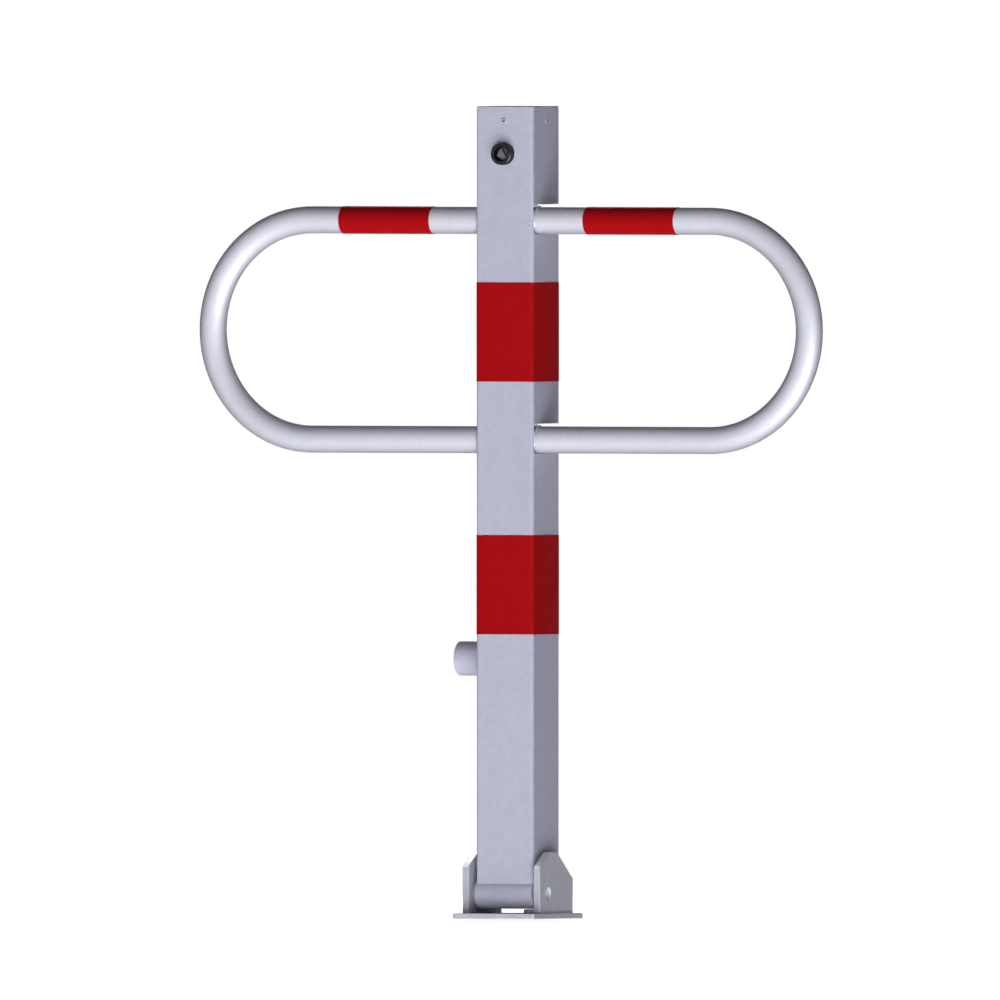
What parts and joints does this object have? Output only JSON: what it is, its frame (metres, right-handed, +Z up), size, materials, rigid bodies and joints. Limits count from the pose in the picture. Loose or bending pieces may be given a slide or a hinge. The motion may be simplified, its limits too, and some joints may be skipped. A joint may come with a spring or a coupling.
{
  "type": "folding parking bollard",
  "caption": "Square steel post with a tubular barrier ring and red reflective bands, hinged between two ears on a bolted base plate so it folds flat, with a key-turned locking rod.",
  "frame": {"origin": "centre of the base plate's underside", "axes": "+Z up along the post, -Y out of the post's front face, +X along the ring"},
  "size_m": [0.76, 0.13, 0.9],
  "materials": {
    "galvanised_steel": "hot-dip galvanised, satin",
    "galvanised_tube": "hot-dip galvanised, a little glossier than the post",
    "red_film": "red retroreflective film",
    "bright_steel": "zinc plated",
    "lock_black": "black, satin",
    "lock_stud": "dark oiled steel",
    "bush_nylon": "grey nylon"
  },
  "bodies": {
    "base": {"base_plate": "galvanised_steel", "hinge_ear_left": "galvanised_steel", "hinge_ear_right": "galvanised_steel", "pivot_pin": "bright_steel", "keeper_block": "galvanised_steel"},
    "post": {"post_tube": "galvanised_steel", "hinge_barrel": "galvanised_steel", "hinge_bush_left": "bush_nylon", "hinge_bush_right": "bush_nylon", "barrier_ring": "galvanised_tube", "post_film_upper": "red_film", "post_film_lower": "red_film", "ring_film_left": "red_film", "ring_film_right": "red_film", "side_stub": "galvanised_steel", "post_cap": "galvanised_steel", "cap_rivets": "bright_steel", "lock_collar": "lock_black", "lock_nut": "bright_steel", "rod_guide_upper": "galvanised_steel", "rod_guide_middle": "galvanised_steel", "rod_guide_lower": "galvanised_steel"},
    "lock": {"lock_spindle": "lock_stud", "spindle_clip": "bright_steel", "crank_disc": "bright_steel", "crank_screw": "bright_steel", "crank_pin": "bright_steel"},
    "rod": {"rod_yoke": "bright_steel", "yoke_pin": "bright_steel", "locking_rod": "bright_steel"}
  },
  "joints": [
    {"name": "post_fold", "type": "hinge", "parent": "base", "child": "post", "pos_m": [0, -0.0215, 0.028], "axis": [1, 0, 0], "range_deg": [0, 90]},
    {"name": "key_turn", "type": "hinge", "parent": "post", "child": "lock", "pos_m": [0, 0, 0.8475], "axis": [0, 1, 0], "range_deg": [0, 90]},
    {"name": "rod_slide", "type": "slide", "parent": "post", "child": "rod", "axis": [0, 0, 1], "range_m": [-0.012, 0]}
  ],
  "couplings": [
    {"joint": "key_turn", "follows": "rod_slide", "rad_per_m": -130.67}
  ]
}
